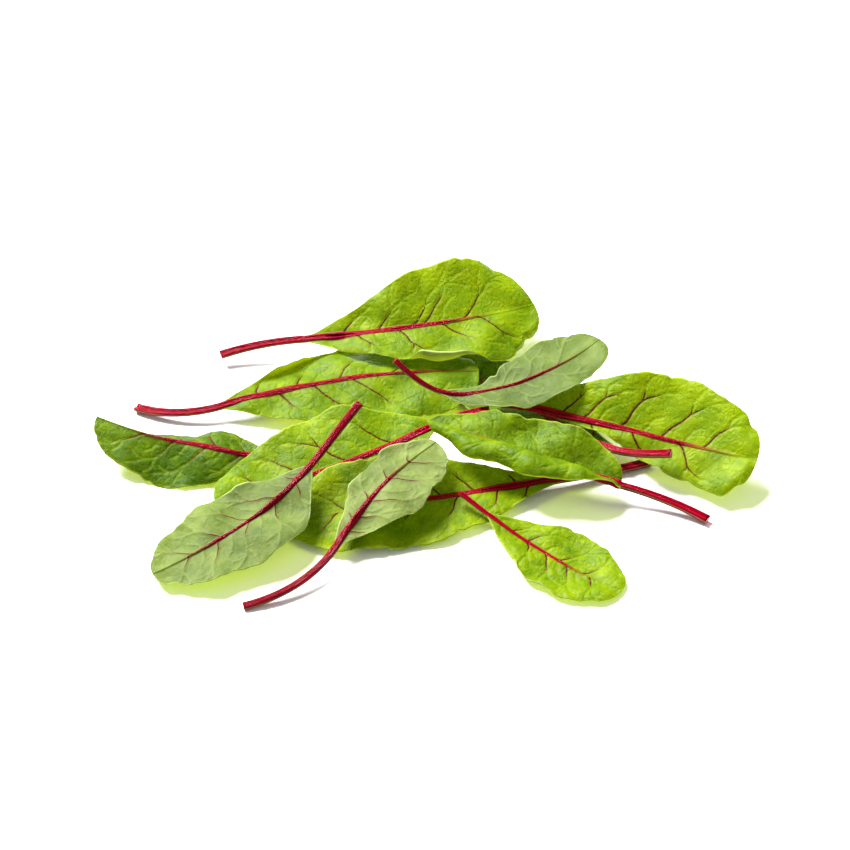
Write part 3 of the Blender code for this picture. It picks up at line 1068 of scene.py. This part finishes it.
    def blade_height(
        self, add: Adder, flat: Socket, crinkle: Socket, fine: Socket, beside: Socket
    ) -> Socket:
        """Adds up the blade's relief that is too fine for the mesh.

        Args:
            add: Adds a node.
            flat: Place on the flattened leaf.
            crinkle: The crinkles between the veins.
            fine: Distance from the finest veins.
            beside: Distance from the nearest side vein.

        Returns:
            The height in millimetres.
        """
        furrows = []
        for off, wide, depth in ((fine, 0.35, self.net_depth), (beside, 1.3, self.vein_depth)):
            smooth = {"interpolation_type": "SMOOTHSTEP", 1: 0.0, 2: wide, 3: -depth, 4: 0.0}
            furrows.append(add("MapRange", smooth, {0: off}))
        height = add("Math", {"operation": "ADD"}, {0: furrows[0], 1: furrows[1]})
        grain = add("TexNoise", {"Scale": 1 / self.grain_mm, "Detail": 2.0}, {"Vector": flat})
        for noise, depth in ((grain, self.grain_depth), (crinkle, self.crinkle_depth)):
            height = add("Math", {"operation": "MULTIPLY_ADD", 1: depth}, {0: noise, 2: height})
        return height

    def dullness(self, add: Adder, flat: Socket, rib: Socket) -> Socket:
        """Varies the gloss over the blade, and makes the stalk shinier.

        Args:
            add: Adds a node.
            flat: Place on the flattened leaf.
            rib: How much of the surface is rib.

        Returns:
            The roughness.
        """
        wax = add("TexNoise", {"Scale": self.wax_per_mm, "Detail": 5.0}, {"Vector": flat})
        blade = add("MapRange", {1: 0.3, 2: 0.7, 3: self.roughness[0], 4: self.roughness[1]}, {0: wax})
        return add("Mix", {"data_type": "FLOAT", 3: self.stalk_roughness}, {0: rib, 2: blade})

    def light_through(
        self, add: Adder, surface: Socket, colour: Socket, rib: Socket, vein: Socket
    ) -> Socket:
        """Lets light through the blade, and little of it through the ribs. The lamp's light
        also turns yellow-green where it falls past the blade onto what lies below.

        Args:
            add: Adds a node.
            surface: The shader of the surface alone.
            colour: The surface's colour.
            rib: How much of the surface is rib.
            vein: How much of it is side vein.

        Returns:
            The shader.
        """
        solid = add("Math", {"operation": "MAXIMUM"}, {0: rib, 1: vein})
        glow = add("Mix", {"data_type": "RGBA", 6: linear(self.glow)}, {0: solid, 7: colour}, 2)
        light = add("BsdfTranslucent", {}, {0: glow})
        share = add("MapRange", {1: 0.0, 2: 1.0, 3: self.through, 4: self.rib_through}, {0: rib})
        leaf = add("MixShader", {}, {0: share, 1: surface, 2: light})
        tints = {"data_type": "RGBA", 6: linear(self.cast), 7: linear(self.rib_cast)}
        clear = add("BsdfTransparent", {}, {0: add("Mix", tints, {0: rib}, 2)})
        shadow = add("LightPath", {}, {}, "Is Shadow Ray")
        return add("MixShader", {}, {0: shadow, 1: leaf, 2: clear})


@dataclass(frozen=True)
class CutStalk(Finish):
    """The cut end of a stalk: wet pink pith with pale strands, drying at its rim."""

    pith: str = "C95A6E"
    strand: str = "F0C9B4"
    rim: str = "8E1230"
    strand_mm: float = 0.55
    strand_height: float = 0.2
    roughness: float = 0.38
    wet_ior: float = 1.4

    def shader(self, add: Adder) -> Socket:
        """Draws the cut end.

        Args:
            add: Adds a node.

        Returns:
            The shader.
        """
        place = add("TexCoord", {}, {}, "Object")
        dots = add("TexVoronoi", {"Scale": 1 / (self.strand_mm * MM)}, {"Vector": place}, "Distance")
        ramp = add("ValToRGB", {}, {0: dots})
        colour_stops(ramp, ((0.1, self.strand), (0.75, self.rim), (0.4, self.pith)))
        bump = add("Bump", {"Strength": 0.6, "Distance": self.strand_height * MM}, {"Height": dots})
        wet = {"Roughness": self.roughness, "IOR": self.wet_ior}
        return add("BsdfPrincipled", wet, {"Base Color": ramp, "Normal": bump})


# The upper side: deep yellow-green with a soft waxy sheen, its veins sunk in it.
UPPER_SKIN = LeafSkin(
    name="Chard leaf upper side",
    deep="284402", middle="516B01", bright="748602", net="526803",
    vein_pale="687E0A", vein_red="440C02", rim="8C9C34",
    stalk="76000F", stalk_dark_and_shade="48000A", stalk_pale_and_highlight="A20034",
    glow="C4D206", through=0.33, roughness=(0.36, 0.54),
    net_depth=0.16, vein_depth=0.2, red_width=(0.12, 0.46),
)

# The underside: paler, greyer and duller, as it has no wax, its veins raised.
UNDER_SKIN = LeafSkin(
    name="Chard leaf underside",
    deep="485828", middle="606C36", bright="78824A", net="5A6834",
    vein_pale="6E7A44", vein_red="4A1008", rim="98A66A",
    stalk="6C000E", stalk_dark_and_shade="3C0008", stalk_pale_and_highlight="940028",
    glow="BECA38", through=0.29, roughness=(0.46, 0.62),
    net_depth=-0.08, vein_depth=-0.16, red_width=(0.1, 0.34),
)


@dataclass(frozen=True)
class Studio:
    """A white floor, a soft key light from behind on the left, and the camera."""

    aim: Pair = (0.2, 14.4)  # floor point that the camera looks at
    elevation: float = 40.0
    distance: float = 913.75
    lens: float = 90.0
    key_from: Pair = (128.0, 48.0)  # bearing from +X towards +Y, and height, in degrees
    key_strength: float = 16.4
    key_softness: float = 30.0  # degrees across
    sky: str = "FFFFFF"
    sky_strength: float = 0.52
    floor_size: float = 3000.0
    paper: str = "F2F2F2"  # plain matt paper, which shows only the shadows
    paper_roughness: float = 0.9

    def floor(self) -> None:
        """Lays the plain white floor."""
        bm = bmesh.new()
        bmesh.ops.create_grid(bm, x_segments=1, y_segments=1, size=self.floor_size * MM)
        mesh = bpy.data.meshes.new("studio_floor")
        bm.to_mesh(mesh)
        bm.free()
        floor = bpy.data.objects.new("studio_floor", mesh)
        bpy.context.scene.collection.objects.link(floor)
        paper = bpy.data.materials.new("White paper")
        paper.use_nodes = True
        shader = paper.node_tree.nodes["Principled BSDF"]
        shader.inputs["Base Color"].default_value = linear(self.paper)
        shader.inputs["Roughness"].default_value = self.paper_roughness
        shader.inputs["Specular IOR Level"].default_value = 0.0
        mesh.materials.append(paper)

    def lights(self) -> None:
        """Hangs the key light and whitens the surroundings."""
        lamp = bpy.data.lights.new("key", "SUN")
        lamp.energy = self.key_strength
        lamp.angle = math.radians(self.key_softness)
        key = bpy.data.objects.new("key", lamp)
        bearing, height = (math.radians(angle) for angle in self.key_from)
        flat = math.cos(height)
        towards = Vector((math.cos(bearing) * flat, math.sin(bearing) * flat, math.sin(height)))
        key.rotation_mode = "QUATERNION"
        key.rotation_quaternion = towards.to_track_quat("Z", "Y")
        bpy.context.scene.collection.objects.link(key)
        world = bpy.data.worlds.new("studio")
        world.use_nodes = True
        sky = world.node_tree.nodes["Background"]
        sky.inputs["Color"].default_value = linear(self.sky)
        sky.inputs["Strength"].default_value = self.sky_strength
        bpy.context.scene.world = world

    def camera(self) -> None:
        """Sets up the camera over the front of the bunch."""
        data = bpy.data.cameras.new("camera")
        data.lens = self.lens
        camera = bpy.data.objects.new("camera", data)
        height = math.radians(self.elevation)
        back = Vector((0, -math.cos(height), math.sin(height)))
        target = Vector((*self.aim, 0)) * MM
        camera.location = target + back * self.distance * MM
        camera.rotation_mode = "QUATERNION"
        camera.rotation_quaternion = back.to_track_quat("Z", "Y")
        bpy.context.scene.collection.objects.link(camera)
        bpy.context.scene.camera = camera

    def build(self) -> None:
        """Builds the whole set."""
        self.floor()
        self.lights()
        self.camera()
        bpy.context.scene.view_settings.view_transform = "Standard"


LEAVES = (
    # Lowest, with its stalk over the right-hand leaf and its blade under the others.
    ChardLeaf(
        name="leaf_center_buried", seed=11, foot=(101, -37), heading=165, turn=(-23, -18), stalk=24,
        blade=108, rise=(16.4, 7.0, 6.4, 3.0, 2.4), width=(18, 17), fold_left=(10, 5, 0),
        fold_right=(10, 5, 0), tone=-0.5,
    ),
    # At the far left, with its near side curled down to the surface.
    ChardLeaf(
        name="leaf_far_left_curled", seed=12, foot=(-51, -33), heading=145, turn=(30, -14),
        stalk=12, blade=78, rise=(4.4, 7.4, 9.9, 11.4, 15.4), width=(20, 13), roll=(-10, -33, -25),
        fold_left=(0, 5, 10), fold_right=(0, -60, -90), fullest=(0.55, 0.4), ruffle=(1, 1),
        thickness=(2.0, 1.6), veins_left=(0.18, 0.36, 0.54, 0.72),
        veins_right=(0.15, 0.3, 0.5, 0.7), red_reach=(0.5, 0.7), vein_red=0.7, swell=1.0, tone=-0.9,
        pucker=0.22,
    ),
    # Long leaf at the left, its stalk on the surface and its tip on the buried leaf.
    ChardLeaf(
        name="leaf_left_long", seed=13, foot=(-125, 10), heading=-31, turn=(49, -14), stalk=38,
        blade=114, rise=(2.1, 6, 9, 10, 8), width=(22, 26), roll=(5, 12, 10),
        fold_left=(0, -10, -10), fold_right=(5, 0, 0), curl_left=(0, -20, 0), fullest=(0.58, 0.6),
        taper=(1.3, 1.0), blunt=(0.42, 0.36), veins_left=(0.13, 0.28, 0.45, 0.65),
        veins_right=(0.2, 0.33, 0.5, 0.7), red_reach=(0.55, 0.75), midrib_red=1.0, swell=1.0,
        rims=(Rim(Side.LEFT, 0.1, 0.6, 5, 120),),
        notches=(Notch(Side.LEFT, 0.94, 2.6, 4), Notch(Side.RIGHT, 0.95, 2.0, 4)), tone=0.2,
    ),
    # Long leaf at the front, lying nearly flat on the surface.
    ChardLeaf(
        name="leaf_front_long", seed=14, foot=(94, -26), heading=-157, turn=(-9, -1), stalk=40,
        blade=118, rise=(2.1, 3.6, 4.0, 4.8, 3.3), width=(23.5, 22), fold_left=(5, -5, 0),
        fold_right=(20, 22, 15), fullest=(0.6, 0.74), blunt=(0.5, 0.8), ruffle=(1, 1),
        veins_left=(0.1, 0.21, 0.35, 0.5, 0.65, 0.8), veins_right=(0.15, 0.3, 0.42, 0.6, 0.75),
        red_reach=(0.7, 0.6), tone=0.7,
    ),
    # Broad leaf left of the middle.
    ChardLeaf(
        name="leaf_left_broad", seed=15, foot=(27, -7), heading=-173, turn=(26, -17), stalk=24,
        blade=100, rise=(14.6, 12.6, 10.6, 8.6, 7.6), width=(15, 26), fold_left=(-5, -22, -25),
        fold_right=(15, 15, 5), fullest=(0.35, 0.42), taper=(1.2, 0.9),
        veins_left=(0.25, 0.45, 0.65), veins_right=(0.2, 0.4, 0.6, 0.78), red_reach=(0.6, 0.8),
        tone=0.2,
    ),
    # Broad leaf at the right, its far side lifted.
    ChardLeaf(
        name="leaf_right_broad", seed=16, foot=(32, -3), heading=-1, turn=(-14, -11), stalk=13,
        blade=98, rise=(15, 13, 12, 12, 14), width=(27, 19), roll=(25, 28, 22),
        fold_left=(10, 8, 5), fold_right=(5, 5, 0), fullest=(0.6, 0.9), taper=(0.9, 2.6),
        blunt=(0.46, 0.36), veins_left=(0.127, 0.22, 0.385, 0.57, 0.76),
        veins_right=(0.26, 0.44, 0.65), red_reach=(0.75, 0.9), vein_way=(50, 64, 46), vein_red=1.0,
        midrib_red=0.9, notches=(Notch(Side.LEFT, 0.93, 1.8, 2), Notch(Side.RIGHT, 0.955, 3, 2.5)),
        swell=1.2, tone=0.6,
    ),
    # Large leaf at the back, tilted up on the ones below it.
    ChardLeaf(
        name="leaf_back_tall", seed=17, foot=(-91, 43), heading=19, turn=(-24, 33), stalk=38,
        blade=106, rise=(5, 10, 14.4, 15.5, 13.5), width=(29.5, 26), roll=(10, 12, 10),
        fold_left=(20, 20, 10), fold_right=(10, 4, -8), fullest=(0.7, 0.68), taper=(1.35, 1.2),
        blunt=(0.38, 0.48), veins_left=(0.146, 0.28, 0.43, 0.49, 0.655),
        veins_right=(0.2, 0.37, 0.55, 0.72), red_reach=(0.6, 0.8), midrib_red=0.78, pucker=0.2,
        rims=(Rim(Side.RIGHT, 0.36, 0.72, 6, 130), Rim(Side.RIGHT, 0.8, 1.0, 5, -70)),
        notches=(Notch(Side.LEFT, 0.9, 1.6, 3), Notch(Side.RIGHT, 0.9, 2.2, 4)), swell=1.1,
        lobes=0.4, tone=0.4,
    ),
    # Leaf folded in half along its midrib, over the front long leaf's stalk.
    ChardLeaf(
        name="leaf_folded", seed=18, foot=(115, -62), heading=146, turn=(21, -14), stalk=38,
        blade=84, rise=(2.2, 6.5, 11.5, 16.5, 18), width=(17, 17), roll=(0, 20, 10),
        fold_left=(60, 60, 40), fold_right=(50, 40, 20), curl_left=(-60, -150, -120),
        fullest=(0.4, 0.35), taper=(0.7, 0.5), blunt=(0.6, 0.6), veins_left=(0.2, 0.4, 0.6, 0.8),
        veins_right=(0.2, 0.4, 0.6, 0.8), vein_red=0.3, lobes=1.0, swell=1.0, tone=-0.1,
    ),
    # Small leaf on top, underside up, its stalk held clear of the heap.
    ChardLeaf(
        name="leaf_top_turned", seed=19, foot=(-13, 11), heading=-40, turn=(31, 53), stalk=19,
        blade=77, rise=(27, 15.6, 17.8, 22.6, 27), width=(17, 15.5), fullest=(0.7, 0.55),
        taper=(1.6, 1.6), blunt=(0.4, 0.36), thickness=(1.5, 1.25), lie=Lie.UNDERSIDE_UP,
        veins_left=(0.2, 0.35, 0.5, 0.7), veins_right=(0.2, 0.4, 0.6), red_reach=(0.4, 0.4),
        midrib_red=0.85, vein_red=0.5, notches=(Notch(Side.LEFT, 0.36, 2.4, 2),), tone=-1.0,
    ),
    # Underside up, lying across the front long leaf, its stalk on the surface.
    ChardLeaf(
        name="leaf_front_turned", seed=20, foot=(-71, -111), heading=13, turn=(50, -20), stalk=47,
        blade=66, rise=(1.0, 4.6, 9.5, 14.5, 16.5), width=(12, 19), fullest=(0.64, 0.58),
        blunt=(0.45, 0.45), thickness=(1.9, 1.6), lie=Lie.UNDERSIDE_UP,
        veins_left=(0.2, 0.36, 0.55, 0.75), veins_right=(0.1, 0.22, 0.36, 0.56, 0.75),
        red_reach=(0.5, 0.6), vein_way=(55, 66, 26), midrib_red=0.75, vein_red=0.8, swell=1.2,
        tone=0.2,
    ),
    # Underside up, leaning down from the top of the heap to the left front.
    ChardLeaf(
        name="leaf_left_turned", seed=21, foot=(-27, -24), heading=-134, turn=(6, -26), stalk=31,
        blade=78, rise=(32, 19, 12, 8, 4), width=(20, 20), fullest=(0.42, 0.5), taper=(1.0, 1.0),
        blunt=(0.42, 0.42), thickness=(1.9, 1.6), lie=Lie.UNDERSIDE_UP,
        veins_left=(0.1, 0.26, 0.44, 0.63, 0.8), veins_right=(0.08, 0.24, 0.42, 0.6, 0.78),
        red_reach=(0.55, 0.6), vein_way=(50, 62, 20), midrib_red=0.85, vein_red=0.8, lobes=1.0,
        swell=1.4, tone=-0.4,
    ),
    # Small leaf at the front right, flat on the surface.
    ChardLeaf(
        name="leaf_front_small", seed=22, foot=(14, -54), heading=-37, turn=(-2, -1), stalk=14,
        blade=66, rise=(9.6, 4.5, 1.4, 1.1, 1.6), width=(17, 17.5), fold_left=(5, 5, 5),
        fold_right=(5, 5, 5), blunt=(0.45, 0.45), ruffle=(0.6, 0.6), thickness=(1.2, 1.0),
        veins_left=(0.18, 0.3, 0.54, 0.72), veins_right=(0.3, 0.45, 0.6, 0.78),
        red_reach=(0.4, 0.5), vein_way=(44, 62, 42), vein_red=0.75, midrib_red=0.78,
        rims=(Rim(Side.RIGHT, 0.25, 0.75, 2.5, 60),), swell=0.8, pucker=0.5, tone=0.5,
    ),
)


def main() -> None:
    """Builds every leaf, and then the studio round them."""
    logging.basicConfig(level=logging.INFO, format="%(name)s: %(message)s")
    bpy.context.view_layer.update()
    skins = [skin.build() for skin in (UPPER_SKIN, UNDER_SKIN, CutStalk("Chard stalk cut end"))]
    for leaf in LEAVES:
        made = leaf.build(skins)
        log.info("%s: %d faces", made.name, len(made.data.polygons))
    Studio().build()


if __name__ == "__main__":
    main()
